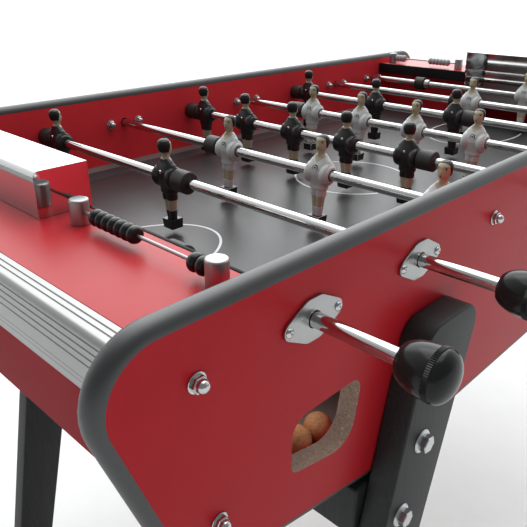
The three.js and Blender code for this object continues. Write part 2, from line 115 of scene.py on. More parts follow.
def noise(nodes, links, scale, detail, stretch=(1, 1, 1), rough=0.6):
    """Noise in object space; scale is in cycles per metre."""
    coord = nodes.new("ShaderNodeTexCoord")
    mapping = nodes.new("ShaderNodeMapping")
    mapping.inputs["Scale"].default_value = stretch
    tex = nodes.new("ShaderNodeTexNoise")
    tex.inputs["Scale"].default_value = scale
    tex.inputs["Detail"].default_value = detail
    tex.inputs["Roughness"].default_value = rough
    links.new(coord.outputs["Object"], mapping.inputs["Vector"])
    links.new(mapping.outputs["Vector"], tex.inputs["Vector"])
    return tex


def ramp(nodes, links, tex, stops, socket="Fac"):
    r = nodes.new("ShaderNodeValToRGB")
    while len(r.color_ramp.elements) < len(stops):
        r.color_ramp.elements.new(0.5)
    for e, (pos, col) in zip(r.color_ramp.elements, stops):
        e.position = pos
        e.color = (*col, 1)
    links.new(tex.outputs[socket], r.inputs["Fac"])
    return r


def bump(nodes, links, b, tex, strength, distance):
    n = nodes.new("ShaderNodeBump")
    n.inputs["Strength"].default_value = strength
    n.inputs["Distance"].default_value = distance
    links.new(tex.outputs["Fac"], n.inputs["Height"])
    links.new(n.outputs["Normal"], b.inputs["Normal"])


def varied(name, color, rough, spread, scale, depth, metal=0.0, tone=0.08,
           stretch=(1, 1, 1), **sockets):
    """A finish whose colour and roughness drift a little, over a fine bumpy surface."""
    m, nodes, links, b = shader(name, color, rough, metal, **sockets)
    fine = noise(nodes, links, scale, 3.0, stretch)
    slow = noise(nodes, links, 14.0, 3.0)
    dark = [c * (1 - tone) for c in color]
    light = [min(1, c * (1 + tone)) for c in color]
    tint = ramp(nodes, links, slow, [(0.3, dark), (0.7, light)])
    links.new(tint.outputs["Color"], b.inputs["Base Color"])
    gloss = nodes.new("ShaderNodeMapRange")
    gloss.inputs["To Min"].default_value = max(0.02, rough - spread)
    gloss.inputs["To Max"].default_value = rough + spread
    links.new(fine.outputs["Fac"], gloss.inputs["Value"])
    links.new(gloss.outputs["Result"], b.inputs["Roughness"])
    bump(nodes, links, b, fine, 0.35, depth)
    return m


def speckled(name, base, dots, scale, rough, depth, share):
    """Grains of several colours, as in particle board or cork."""
    m, nodes, links, b = shader(name, base, rough)
    coord = nodes.new("ShaderNodeTexCoord")
    cells = nodes.new("ShaderNodeTexVoronoi")
    cells.inputs["Scale"].default_value = scale
    links.new(coord.outputs["Object"], cells.inputs["Vector"])
    grains = ramp(nodes, links, cells, [(i / len(dots), c) for i, c in enumerate(dots)], "Color")
    fine = noise(nodes, links, scale * 1.7, 4.0)
    mix = nodes.new("ShaderNodeMixRGB")
    mix.inputs["Color1"].default_value = (*base, 1)
    amount = ramp(nodes, links, fine, [(0.35, (0, 0, 0)), (0.7, (share, share, share))])
    links.new(amount.outputs["Color"], mix.inputs["Fac"])
    links.new(grains.outputs["Color"], mix.inputs["Color2"])
    links.new(mix.outputs["Color"], b.inputs["Base Color"])
    bump(nodes, links, b, fine, 0.6, depth)
    return m


RED_C = (0.43, 0.013, 0.020)
# The inner faces take a brighter copy of the same red laminate: painted light, standing in for the light
# these faces lack.
INNER_RED_PAINTED_LIGHT_C = (0.78, 0.040, 0.054)
RED = varied("red_laminate", RED_C, 0.36, 0.05, 2600, 0.00005, tone=0.04, Specular_IOR_Level=0.1)
INNER_RED_PAINTED_LIGHT = varied("red_inner_painted_light", INNER_RED_PAINTED_LIGHT_C, 0.36, 0.05, 2600, 0.00005, tone=0.04,
                   Specular_IOR_Level=0.15)
DECK_RED = varied("red_deck_laminate", RED_C, 0.36, 0.05, 2600, 0.00005, tone=0.04,
                  Specular_IOR_Level=0.2)
# The sloping end board takes a darker copy of the same red laminate: painted shade.
PANEL_RED_PAINTED_SHADE = varied("red_end_painted_shade", (0.26, 0.012, 0.018), 0.6, 0.05, 2600, 0.00005, tone=0.04,
                   Specular_IOR_Level=0.02)
BOARD = speckled("particle_board", (0.42, 0.31, 0.22),
                 [(0.78, 0.62, 0.47), (0.22, 0.14, 0.12), (0.45, 0.20, 0.20), (0.09, 0.08, 0.09)],
                 480, 0.85, 0.0003, 0.9)
CORK = speckled("cork", (0.80, 0.38, 0.13),
                [(0.85, 0.42, 0.14), (0.66, 0.15, 0.13), (0.85, 0.36, 0.32), (0.42, 0.16, 0.06)],
                520, 0.8, 0.0003, 0.9)
EDGING = varied("black_edging", (0.018, 0.020, 0.021), 0.46, 0.04, 1800, 0.00003,
                Specular_IOR_Level=0.85)
BLACK_BAND = varied("black_edge_band", (0.008, 0.008, 0.008), 0.6, 0.05, 1800, 0.00005,
                    Specular_IOR_Level=0.15)
FIELD = varied("field_laminate", (0.032, 0.033, 0.034), 0.36, 0.05, 2200, 0.00006, tone=0.1)
STRIP = varied("field_side_strip", (0.14, 0.115, 0.11), 0.4, 0.05, 2200, 0.00005)
LINE = varied("field_line", (0.62, 0.63, 0.63), 0.4, 0.05, 1500, 0.00003)
BARE = varied("plain_board", (0.42, 0.31, 0.27), 0.75, 0.08, 900, 0.0002, tone=0.2)
ALUMINIUM = varied("anodised_aluminium", (0.28, 0.28, 0.275), 0.3, 0.03, 500, 0.000002,
                   metal=1.0, tone=0.02, stretch=(1, 0.03, 1))
POST = varied("turned_aluminium", (0.36, 0.36, 0.36), 0.38, 0.06, 1500, 0.00001, metal=1.0,
              tone=0.03, stretch=(1, 1, 0.1))
MIRROR = varied("mirror_steel", (0.58, 0.58, 0.58), 0.06, 0.02, 60, 0.000004, metal=1.0, tone=0.02)
PLATE = varied("bearing_plate_steel", (0.38, 0.38, 0.38), 0.26, 0.03, 300, 0.000003, metal=1.0, tone=0.02)
CHROME = varied("polished_tube", (0.62, 0.62, 0.61), 0.09, 0.02, 60, 0.000004, metal=1.0,
                tone=0.02, stretch=(1, 0.2, 1))
ZINC = varied("zinc_bolt", (0.55, 0.56, 0.57), 0.3, 0.08, 1500, 0.00005, metal=1.0)
STEEL = varied("steel_nut", (0.56, 0.56, 0.56), 0.16, 0.03, 600, 0.000002, metal=1.0)
RUBBER = varied("dark_rubber", (0.022, 0.018, 0.017), 0.55, 0.08, 1600, 0.0001)
GLOSS_BLACK = varied("gloss_black", (0.014, 0.014, 0.014), 0.22, 0.04, 500, 0.00002)
HANDLE_BLACK = varied("handle_black", (0.014, 0.014, 0.014), 0.15, 0.03, 300, 0.000004,
                      Specular_IOR_Level=0.2)
BEAD_BLACK = varied("bead_black", (0.011, 0.011, 0.011), 0.22, 0.04, 600, 0.000005,
                    Specular_IOR_Level=0.35)
BEAD_GREY = varied("bead_grey", (0.32, 0.33, 0.33), 0.28, 0.05, 900, 0.00004)
SHIRT_BLACK = varied("shirt_black", (0.016, 0.016, 0.017), 0.34, 0.06, 900, 0.00008)
SHIRT_WHITE = varied("shirt_white", (0.56, 0.60, 0.60), 0.42, 0.06, 900, 0.00008)
SKIN = varied("painted_skin", (0.46, 0.43, 0.30), 0.45, 0.06, 900, 0.00006)
HAIR = varied("painted_hair", (0.014, 0.014, 0.014), 0.4, 0.06, 900, 0.00008,
              Specular_IOR_Level=0.35)
BADGE = varied("pale_ring", (0.75, 0.76, 0.76), 0.35, 0.05, 900, 0.00003)
MOUTH = varied("painted_red", (0.45, 0.02, 0.03), 0.45, 0.05, 900, 0.00003)
# Near black for gaps, holes and screw sockets: painted shade, standing in for the shade inside them.
GAP_SHADE = varied("painted_gap_shade", (0.012, 0.006, 0.006), 0.7, 0.05, 900, 0.00003)


def wood_black():
    m, nodes, links, b = shader("black_stained_wood", (0.016, 0.017, 0.017), 0.5, Specular_IOR_Level=0.3)
    grain = noise(nodes, links, 80, 6.0, (7, 7, 0.2), 0.7)
    tint = ramp(nodes, links, grain, [(0.35, (0.008, 0.009, 0.009)), (0.62, (0.020, 0.021, 0.021)),
                                      (0.75, (0.045, 0.047, 0.047))])
    links.new(tint.outputs["Color"], b.inputs["Base Color"])
    bump(nodes, links, b, grain, 0.5, 0.0004)
    return m


WOOD = wood_black()


# ---------------------------------------------------------------- mesh helpers

def finish_mesh(name, bm, materials, angle=35):
    """Makes a mesh in metres; edges sharper than the angle stay sharp, the rest are smooth."""
    mesh = bpy.data.meshes.new(name)
    bm.normal_update()
    bm.to_mesh(mesh)
    bm.free()
    mesh.transform(Matrix.Scale(0.001, 4))
    for m in materials:
        mesh.materials.append(m)
    mesh.polygons.foreach_set("use_smooth", [True] * len(mesh.polygons))
    mesh.set_sharp_from_angle(angle=math.radians(angle))
    return mesh


def piece(name, mesh, body, replaces=(), at=(0, 0, 0), turn=0.0):
    """Puts a mesh at a place in millimetres and lets it ride on a body."""
    o = bpy.data.objects.new(name, mesh)
    bpy.context.scene.collection.objects.link(o)
    o.matrix_world = (Matrix.Translation(Vector((at[0], at[1], at[2] + AXIS)) * 0.001)
                      @ Matrix.Rotation(math.radians(turn), 4, "Z"))
    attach(o, body)
    if replaces:
        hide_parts(*replaces)
    return o


def both(name, mesh, nodes=()):
    """One mesh at the black end, and the same turned half round at the white end."""
    piece(name + "_black", mesh, "table", [n + "_black" for n in nodes])
    piece(name + "_white", mesh, "table", [n + "_white" for n in nodes], turn=180)


def revolve(bm, profile, segments, axis="Y", at=(0, 0, 0), mat=0):
    """Turns [(radius, height), ...] about an axis. A radius of 0 closes an end."""
    place = {"X": lambda c, s, h: (h, c, s), "Y": lambda c, s, h: (c, h, s),
             "Z": lambda c, s, h: (c, s, h)}[axis]
    rings = []
    for r, h in profile:
        count = 1 if r < 1e-6 else segments
        ring = []
        for k in range(count):
            a = 2 * math.pi * k / segments
            p = Vector(place(r * math.cos(a), r * math.sin(a), h)) + Vector(at)
            ring.append(bm.verts.new(p))
        rings.append(ring)
    for low, high in zip(rings, rings[1:]):
        for k in range(segments):
            n = (k + 1) % segments
            quad = [low[k % len(low)], low[n % len(low)], high[n % len(high)], high[k % len(high)]]
            quad = list(dict.fromkeys(quad))
            if len(quad) > 2:
                f = bm.faces.new(quad)
                f.material_index = mat
    return rings


def fix_normals(bm):
    bmesh.ops.recalc_face_normals(bm, faces=bm.faces)


def face_up(bm):
    fix_normals(bm)
    for f in bm.faces:
        if f.normal.z < 0:
            f.normal_flip()


def box(bm, low, high, bevel, segments, mat=0):
    """A block between two corners, with softened edges unless the bevel is 0. Returns its first corners."""
    made = bmesh.ops.create_cube(bm, size=1.0)["verts"]
    size = [h - l for l, h in zip(low, high)]
    mid = [(h + l) / 2 for l, h in zip(low, high)]
    for v in made:
        v.co = Vector([c * s + m for c, s, m in zip(v.co, size, mid)])
    faces = dict.fromkeys(f for v in made for f in v.link_faces)
    for f in faces:
        f.material_index = mat
    if bevel:
        edges = dict.fromkeys(e for f in faces for e in f.edges)
        bmesh.ops.bevel(bm, geom=list(edges), offset=bevel, segments=segments, profile=0.5,
                        affect="EDGES")
    return made


def hexagon(bm, levels, turn):
    """A hexagonal head about Y from [(y, radius), ...], turned by some degrees and closed at its end."""
    angles = [math.radians(60 * k + turn) for k in range(6)]
    rings = [[bm.verts.new((r * math.cos(a), y, r * math.sin(a))) for a in angles] for y, r in levels]
    for a, b in zip(rings, rings[1:]):
        for k in range(6):
            bm.faces.new([a[k], a[(k + 1) % 6], b[(k + 1) % 6], b[k]])
    bm.faces.new(rings[-1])


def bar_mesh(name, section, material, angle, bevel=0.0):
    """A bar of one section, drawn in X and Z, that runs from wall to wall."""
    bm = bmesh.new()
    ends = [[bm.verts.new((x, y, z)) for x, z in section] for y in (-CLEAR_Y, CLEAR_Y)]
    for k in range(len(section)):
        m = (k + 1) % len(section)
        bm.faces.new([ends[0][k], ends[0][m], ends[1][m], ends[1][k]])
    for end in ends:
        bm.faces.new(end)
    fix_normals(bm)
    if bevel:
        bmesh.ops.bevel(bm, geom=list(bm.edges), offset=bevel, segments=2, affect="EDGES")
    return finish_mesh(name, bm, [material], angle)


def rounded(corners, steps):
    """Points of a convex outline whose corners (x, z, radius) are rounded."""
    out = []
    n = len(corners)
    for i, (x, z, r) in enumerate(corners):
        here = Vector((x, z))
        back = (Vector(corners[i - 1][:2]) - here).normalized()
        ahead = (Vector(corners[(i + 1) % n][:2]) - here).normalized()
        half = math.acos(max(-1, min(1, back.dot(ahead)))) / 2
        centre = here + (back + ahead).normalized() * (r / math.sin(half))
        start = here + back * (r / math.tan(half)) - centre
        side = math.copysign(1, back.x * ahead.y - back.y * ahead.x)
        for k in range(steps + 1):
            a = -side * (math.pi - 2 * half) * k / steps
            c, s = math.cos(a), math.sin(a)
            out.append(Vector((start.x * c - start.y * s, start.x * s + start.y * c)) + centre)
    return out


def circle(x, z, r, count=32):
    angles = [2 * math.pi * k / count for k in range(count)]
    return [Vector((x + r * math.cos(a), z + r * math.sin(a))) for a in angles]


def plate_mesh(name, outline, holes, y_low, y_high, materials, bevel=0.0, steps=2, hole_mat=0):
    """A flat plate drawn in X and Z, from y_low to y_high, with holes and softened rims. The walls of
    its holes take the material numbered hole_mat."""
    curve = bpy.data.curves.new(name, "CURVE")
    curve.dimensions = "2D"
    curve.fill_mode = "BOTH"
    for points in [outline, *holes]:
        spline = curve.splines.new("POLY")
        spline.points.add(len(points) - 1)
        for p, q in zip(spline.points, points):
            p.co = (q.x, q.y, 0, 1)
        spline.use_cyclic_u = True
    curve.extrude = (y_high - y_low) / 2 - bevel
    curve.bevel_depth = bevel
    curve.bevel_resolution = steps
    curve.offset = -bevel
    o = bpy.data.objects.new(name + "_curve", curve)
    bpy.context.scene.collection.objects.link(o)
    mesh = bpy.data.meshes.new_from_object(o.evaluated_get(bpy.context.evaluated_depsgraph_get()))
    bpy.data.objects.remove(o)
    mesh.transform(Matrix(((1, 0, 0, 0), (0, 0, -1, (y_low + y_high) / 2), (0, 1, 0, 0), (0, 0, 0, 1))))
    mesh.name = name
    bm = bmesh.new()
    bm.from_mesh(mesh)
    bmesh.ops.remove_doubles(bm, verts=bm.verts, dist=0.002)
    fix_normals(bm)
    if hole_mat:
        spans = [(Vector((sum(p.x for p in h), sum(p.y for p in h))) / len(h),
                  max((p - h[0]).length for p in h)) for h in holes]
        for f in bm.faces:
            f.material_index = 0
            c = f.calc_center_median()
            if abs(f.normal.y) < 0.5 and any((Vector((c.x, c.z)) - m).length < s for m, s in spans):
                f.material_index = hole_mat
    bpy.data.meshes.remove(mesh)
    return finish_mesh(name, bm, materials, 30)


# ---------------------------------------------------------------- cabinet

OUTLINE = rounded(WALL_CORNERS, 12)


def rod_x(i):
    return HINGES[rod_name(i) + "_turn"]["pos_m"][0] * 1000


def rod_name(i):
    return f"rod_{i + 1}_{'black' if i in BLACK_RODS else 'white'}"


def side_wall():
    holes = [rounded(WINDOW_CORNERS, 8)]
    for i in range(len(ROD_MEN)):
        holes.append(circle(rod_x(i), 0, TUBE_HOLE_R if i in BLACK_RODS else STUD_HOLE_R))
    finishes = [RED, BOARD, INNER_RED_PAINTED_LIGHT]
    mesh = plate_mesh("side_wall", OUTLINE, holes, -WALL_OUT, -WALL_IN, finishes, hole_mat=1)
    # The inner face takes the brighter inner red, which is painted light.
    for face in mesh.polygons:
        if face.normal.y > 0.9:
            face.material_index = 2
    both("wall", mesh, ["side_wall"])


def edging():
    """Half-round edging, swept round the wall's outline."""
    bm = bmesh.new()
    n = len(OUTLINE)
    steps = 14
    limit = CAD_BOX[1][0] * 1000
    rings = []
    for i, p in enumerate(OUTLINE):
        d1 = (p - OUTLINE[i - 1]).normalized()
        d2 = (OUTLINE[(i + 1) % n] - p).normalized()
        normal = Vector((d1.y + d2.y, -d1.x - d2.x)).normalized()
        stretch = 1 / math.sqrt(max(0.2, (1 + d1.dot(d2)) / 2))
        ring = []
        for k in range(steps + 1):
            a = math.pi * (k / steps - 0.5)
            out = (0.05 + (EDGING_R - 0.05) * math.cos(a)) * stretch
            y = -WALL_OUT + EDGING_R + (EDGING_R + 0.02) * math.sin(a)
            x = max(-limit, min(limit, p.x + normal.x * out))
            ring.append(bm.verts.new((x, y, p.y + normal.y * out)))
        rings.append(ring)
    for i, ring in enumerate(rings):
        after = rings[(i + 1) % n]
        for k in range(steps + 1):
            m = (k + 1) % (steps + 1)
            bm.faces.new([ring[k], ring[m], after[m], after[k]])
    both("edge", finish_mesh("edging", bm, [EDGING], 50), ["edging"])


def deck():
    """Red shelf and end wall, with the shelf's black edge band and the goalkeeper's cut-out."""
    edge = CLEAR_Y
    band, side_band, rise, seam = 4.4, 1.6, 0.5, 0.05
    bm = bmesh.new()
    for y0, y1 in ((-edge, -CUT_Y), (CUT_Y, edge)):
        box(bm, (-DECK_IN - band, y0, DECK_LOW + 0.1), (-DECK_IN, y1, DECK_TOP + rise), 1.4, 4)
    for side in (-1, 1):
        low, high = sorted((side * CUT_Y, side * (CUT_Y + side_band)))
        box(bm, (CUT_X, low, DECK_LOW + 0.1), (-DECK_IN - band, high, DECK_TOP), 0.4, 2)
    bands = finish_mesh("deck_bands", bm, [BLACK_BAND], 40)
    inner, side_y = -DECK_IN - band - seam, CUT_Y + side_band + seam
    outline = [(-DECK_OUT, -edge), (inner, -edge), (inner, -side_y), (CUT_X, -side_y),
               (CUT_X, side_y), (inner, side_y), (inner, edge), (-DECK_OUT, edge)]
    bm = bmesh.new()
    low = [bm.verts.new((x, y, DECK_LOW)) for x, y in outline]
    high = [bm.verts.new((x, y, DECK_TOP)) for x, y in outline]
    bm.faces.new(low)
    bm.faces.new(high)
    for k in range(len(outline)):
        m = (k + 1) % len(outline)
        bm.faces.new([low[k], low[m], high[m], high[k]])
    fix_normals(bm)
    rims = [e for e in bm.edges if all(v.co.z > DECK_TOP - 0.1 for v in e.verts)]
    bmesh.ops.bevel(bm, geom=rims, offset=0.4, segments=2, affect="EDGES")
    shelf = finish_mesh("deck_shelf", bm, [DECK_RED], 40)
    bm = bmesh.new()
    wall_back, wall_low, wall_top = CUT_X - 16, -100, DECK_LOW - 0.1
    for y0, y1, top in ((-edge, -CUT_Y, wall_top), (CUT_Y, edge, wall_top), (-CUT_Y, CUT_Y, FIELD_Z)):
        box(bm, (wall_back, y0, wall_low), (CUT_X, y1, top), 0.3, 1)
    # The end wall takes the brighter inner red, which is painted light.
    wall = finish_mesh("end_wall", bm, [INNER_RED_PAINTED_LIGHT], 40)
    both("deck_shelf", shelf, ["end_deck"])
    both("deck_band", bands)
    both("end_wall", wall)


def end_profile():
    """Ribbed aluminium angle along the end of the deck."""
    top, face, back = DECK_TOP, PROFILE_X, -DECK_OUT - GAP
    points = [(back, top)]
    for x in (-668.6, -673.8):
        points += [(x + 0.9, top), (x + 0.5, top - 0.9), (x - 0.5, top - 0.9), (x - 0.9, top)]
    for k in range(9):
        a = math.pi / 2 * (1 + k / 8)
        points.append((face + 5 + 5 * math.cos(a), top - 5 + 5 * math.sin(a)))
    for z in (26.0, 20.0, 13.7, 7.3):
        points += [(face, z + 0.9), (face + 0.9, z + 0.5), (face + 0.9, z - 0.5), (face, z - 0.9)]
    for z in (-5.6, -9.8):
        points += [(face, z + 0.4), (face + 0.4, z), (face, z - 0.4)]
    points += [(face, -16.6), (face + 0.4, -17), (face + 3, -17), (face + 3, top - 5),
               (face + 5, top - 3), (back, top - 3)]
    both("end_profile", bar_mesh("end_profile", points, ALUMINIUM, 25), ["end_profile"])


def end_panel():
    """Sloping board under the end profile."""
    low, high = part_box("end_panel_black")
    drop = (high.z - low.z) * 1000
    length = math.hypot(PANEL_RUN, drop)
    foot = PANEL_X + PANEL_RUN
    section = [(PANEL_X, PANEL_TOP), (foot, PANEL_LOW),
               (foot + PANEL_T * drop / length, PANEL_LOW + PANEL_T * PANEL_RUN / length),
               (PANEL_X + PANEL_T * length / drop, PANEL_TOP)]
    # The board takes the darker red, which is painted shade.
    both("end_panel", bar_mesh("end_panel", section, PANEL_RED_PAINTED_SHADE, 40, 0.5), ["end_panel"])


def goal_box():
    """Folded sheet, with a soft bend at the back and plain sides, and its lining down to the ball slot."""
    x0, x1 = BOX_X
    z0, z1 = DECK_TOP + GAP, BOX_TOP
    sheet, bend, slot_top, skirt = 1.5, 5.0, -43.0, -8.0
    shell = rounded([(x0, z0, 0.1), (x0 + sheet, z0, 0.1), (x0 + sheet, z1 - sheet, bend - sheet),
                     (x1, z1 - sheet, 0.1), (x1, z1, 0.5), (x0, z1, bend)], 8)
    cheek = rounded([(x0, z0, 0.1), (x1, z0, 0.1), (x1, z1, 0.5), (x0, z1, bend)], 8)
    inner = BOX_Y - sheet
    both("goal_box", plate_mesh("goal_box", shell, [], -inner, inner, [MIRROR]), ["goal_box"])
    for n, (low, high) in enumerate(((-BOX_Y, -inner - 0.05), (inner + 0.05, BOX_Y))):
        both(f"goal_cheek_{n}", plate_mesh("goal_cheek", cheek, [], low, high, [MIRROR]))
    bm = bmesh.new()
    back, side = CUT_X + 0.1, CUT_Y - 0.1
    box(bm, (back, -side, slot_top), (back + 1, side, z0), 0.2, 1)
    for y in (-side, side - 1):
        box(bm, (back + 1.1, y, skirt), (-DECK_IN - 1, y + 1, z0), 0.2, 1)
    both("goal_lining", finish_mesh("goal_lining", bm, [MIRROR], 30))


def field():
    """The board's finish, its painted lines and the two sloping side strips."""
    lines = bmesh.new()
    z = FIELD_Z + 0.04

    def ribbon(points, width):
        rows = []
        for i, p in enumerate(points):
            a, b = points[max(0, i - 1)], points[min(len(points) - 1, i + 1)]
            d = (Vector(b) - Vector(a)).normalized()
            side = Vector((-d.y, d.x)) * width / 2
            rows.append([lines.verts.new((p[0] + side.x, p[1] + side.y, z)),
                         lines.verts.new((p[0] - side.x, p[1] - side.y, z))])
        for r, s in zip(rows, rows[1:]):
            lines.faces.new([r[0], r[1], s[1], s[0]])

    def arc(cx, cy, rx, ry, start, end, steps):
        angles = [math.radians(start + (end - start) * k / steps) for k in range(steps + 1)]
        return [(cx + rx * math.cos(a), cy + ry * math.sin(a)) for a in angles]

    width = 3.4
    for s in (-1, 1):
        ribbon([(s * x, s * y) for x, y in arc(-470, -9, 140, 87, -110, 110, 48)], width)
        ribbon(arc(0, 0, 95, 95, 90 * s - 90, 90 * s + 90, 60), width)
    ribbon([(0, -297), (0, 297)], width)
    face_up(lines)
    piece("field_lines", finish_mesh("field_lines", lines, [LINE]), "table")
    bm = bmesh.new()
    for s in (-1, 1):
        low, high = FIELD_Z + 0.06, FIELD_Z + 0.06 + STRIP_RISE
        corners = [(-FIELD_END, STRIP_IN, low), (FIELD_END, STRIP_IN, low),
                   (FIELD_END, STRIP_OUT, high), (-FIELD_END, STRIP_OUT, high)]
        top = [bm.verts.new((x, s * y, z)) for x, y, z in corners]
        bm.faces.new(top if s > 0 else top[::-1])
    face_up(bm)
    piece("field_strips", finish_mesh("field_strips", bm, [STRIP]), "table")
    paint(NODES["playing_field"], FIELD)


def paint(o, material):
    o.data.materials.clear()
    o.data.materials.append(material)


def hex_bolt(name, x, y, z, face):
    """Flanged hex bolt on a face that looks along Y; face is -1 or 1."""
    bm = bmesh.new()
    revolve(bm, [(0, 0), (12.6, 0), (13, 0.5), (12.4, 1.6), (9.4, 2.6), (0, 2.6)], 40)
    hexagon(bm, ((2.4, 9.6), (8.4, 9.6), (9.4, 8.7)), 12)
    fix_normals(bm)
    mesh = finish_mesh(name, bm, [ZINC], 28)
    if face < 0:
        mesh.transform(Matrix.Rotation(math.pi, 4, "Z"))
    piece(name, mesh, "table", at=(x, y, z))


def cap_nut_mesh(name):
    """Washer, hexagon and dome, standing along -Y."""
    bm = bmesh.new()
    revolve(bm, [(0, 0), (7.6, 0), (7.9, -0.3), (7.9, -1.2), (7.5, -1.5), (0, -1.5)], 36)
    hexagon(bm, ((-1.4, 6.8), (-4.6, 6.8), (-5.2, 6.1)), 0)
    rise = [math.pi / 2 * k / 7 for k in range(1, 8)]
    dome = [(5.2, -5.0), (5.1, -6.6)] + [(5.1 * math.cos(a), -6.6 - 4.4 * math.sin(a)) for a in rise]
    revolve(bm, dome, 28)
    fix_normals(bm)
    return finish_mesh(name, bm, [STEEL], 30)


def legs():
    """Four splayed legs; each outline is used for one leg at each end."""
    drop = LEG_TOP - LEG_LOW
    outer, inner, outer_splay, inner_splay = -391, -291, 0.21, 0.25
    outline = rounded([(outer, LEG_TOP, 25), (outer - outer_splay * drop, LEG_LOW, 1.2),
                       (inner - inner_splay * drop, LEG_LOW, 1.2), (inner, LEG_TOP, 25)], 8)
    for side, near, far in ((-1, "near", "far"), (1, "far", "near")):
        y0, y1 = sorted((side * LEG_IN, side * LEG_OUT))
        mesh = plate_mesh(f"leg_{near}", outline, [], y0, y1, [WOOD], bevel=2.6, steps=3)
        piece(f"leg_a_{near}", mesh, "table", [f"leg_black_{near}"])
        piece(f"leg_b_{far}", mesh, "table", [f"leg_white_{far}"], turn=180)
        bolt_y = side * (LEG_OUT - 0.1)
        for n, (x, z) in enumerate(LEG_BOLTS):
            hex_bolt(f"leg_bolt_a_{near}_{n}", x, bolt_y, z, side)
            hex_bolt(f"leg_bolt_b_{far}_{n}", -x, -bolt_y, z, -side)


def beams():
    bm = bmesh.new()
    box(bm, (-445, -351.9, -296), (-365, 351.9, -232), 3.0, 3)
    both("beam", finish_mesh("beam", bm, [WOOD], 40), ["cross_beam"])


def small_fasteners():
    nut = cap_nut_mesh("cap_nut")
    for s in (-1, 1):
        turn = 0 if s < 0 else 180
        end = "black" if s < 0 else "white"
        y = s * WALL_OUT
        for n, (x, z) in enumerate(WALL_BOLTS):
            piece(f"wall_bolt_{end}_{n}", nut, "table", at=(-s * x, y, z), turn=turn)
            piece(f"wall_bolt_{end}_far_{n}", nut, "table", at=(s * x, y, z), turn=turn)


# ---------------------------------------------------------------- score rails and balls

def score_rails():
    """Two posts and the wire that carries the beads."""
    bm = bmesh.new()
    top, edge, foot = 56.0, 2.0, DECK_TOP + GAP
    for y in POST_Y:
        rim = [(POST_R - edge + edge * math.cos(a), top - edge + edge * math.sin(a))
               for a in [math.pi / 2 * k / 5 for k in range(6)]]
        revolve(bm, [(0, foot), (POST_R, foot), *rim, (0, top)], 48, "Z", (-RAIL_X, -y, 0))
    wire_r, sunk = 1.6, 2
    revolve(bm, [(wire_r, sunk - POST_Y[1]), (wire_r, -sunk - POST_Y[0])], 16, "Y", (-RAIL_X, 0, RAIL_Z))
    fix_normals(bm)
    mesh = finish_mesh("score_rail", bm, [POST], 30)
    both("score_rail", mesh, ["score_rail"])


def beads(node, count, y_high, side, material):
    """Round-edged discs with a small groove between them."""
    waist, flat, bore = 4.2, 0.28, 1.9
    half = BEAD_PITCH / 2 - 0.12
    arc = [math.pi * (k / 16 - 0.5) for k in range(17)]

    def rim_point(a, mid):
        r = waist + (BEAD_R - waist) * max(0.0, math.cos(a)) ** 0.62
        bend = math.copysign(abs(math.sin(a)) ** 4, math.sin(a))
        return r, mid + half * math.sin(a) * (1 - flat) + half * flat * bend

    bm = bmesh.new()
    for i in range(count):
        rim = [rim_point(a, -BEAD_PITCH * (i + 0.5)) for a in arc]
        revolve(bm, [(bore, rim[0][1]), *rim, (bore, rim[-1][1])], 36)
    fix_normals(bm)
    mesh = finish_mesh(node + "_mesh", bm, [material], 40)
    turn = 0 if side < 0 else 180
    piece(node + "_row", mesh, node, [node], (side * RAIL_X, side * y_high, RAIL_Z), turn)


def balls():
    for n in ("ball_1", "ball_2"):
        low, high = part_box(n)
        mid = (low + high) / 2 * 1000
        bm = bmesh.new()
        bmesh.ops.create_icosphere(bm, subdivisions=5, radius=(high.x - low.x) * 500)
        mesh = finish_mesh(n + "_mesh", bm, [CORK], 180)
        piece(n + "_cork", mesh, n, [n], at=(mid.x, mid.y, mid.z - AXIS))


# ---------------------------------------------------------------- players

# A head's sections: height, half depth, half width and forward offset.
HEAD = [(28.2, 2.8, 2.4, 1.4), (29.2, 4.9, 4.3, 1.1), (31.0, 6.6, 5.8, 0.8), (33.6, 7.9, 7.1, 0.5),
        (37.0, 8.6, 7.9, 0.1), (40.6, 8.8, 8.3, -0.1), (44.2, 8.5, 8.0, -0.2), (46.8, 6.9, 6.5, -0.2),
        (48.6, 4.2, 4.0, -0.2), (49.5, 0.4, 0.4, -0.2)]


def head_shape(z):
    """Half depth, half width and forward offset of the head at a height."""
    for (z0, *p), (z1, *q) in zip(HEAD, HEAD[1:]):
        if z <= z1:
            t = max(0.0, (z - z0) / (z1 - z0))
            return [a + (b - a) * t for a, b in zip(p, q)]
    return HEAD[-1][1:]


def head_point(angle, z, lift=0.0):
    """A point on the head or, with a lift, just off it; angle 0 looks forward."""
    a, b, forward = head_shape(z)
    nose = 1.4 * math.exp(-(angle / 0.16) ** 2 - ((z - 36.6) / 2.0) ** 2)
    brow = 0.35 * math.exp(-(angle / 0.8) ** 2 - ((z - 43.0) / 1.1) ** 2)
    x = forward + (a + lift + nose + brow) * math.cos(angle)
    return Vector((x, (b + lift) * math.sin(angle), z + (lift if z > 46 else 0) * 0.6))


def skin_over(bm, rows, mat):
    """Closes a stack of equal rings into one body."""
    count = len(rows[0])
    for low, high in zip(rows, rows[1:]):
        for k in range(count):
            n = (k + 1) % count
            bm.faces.new([low[k], low[n], high[n], high[k]]).material_index = mat
    bm.faces.new(rows[0][::-1]).material_index = mat
    bm.faces.new(rows[-1]).material_index = mat


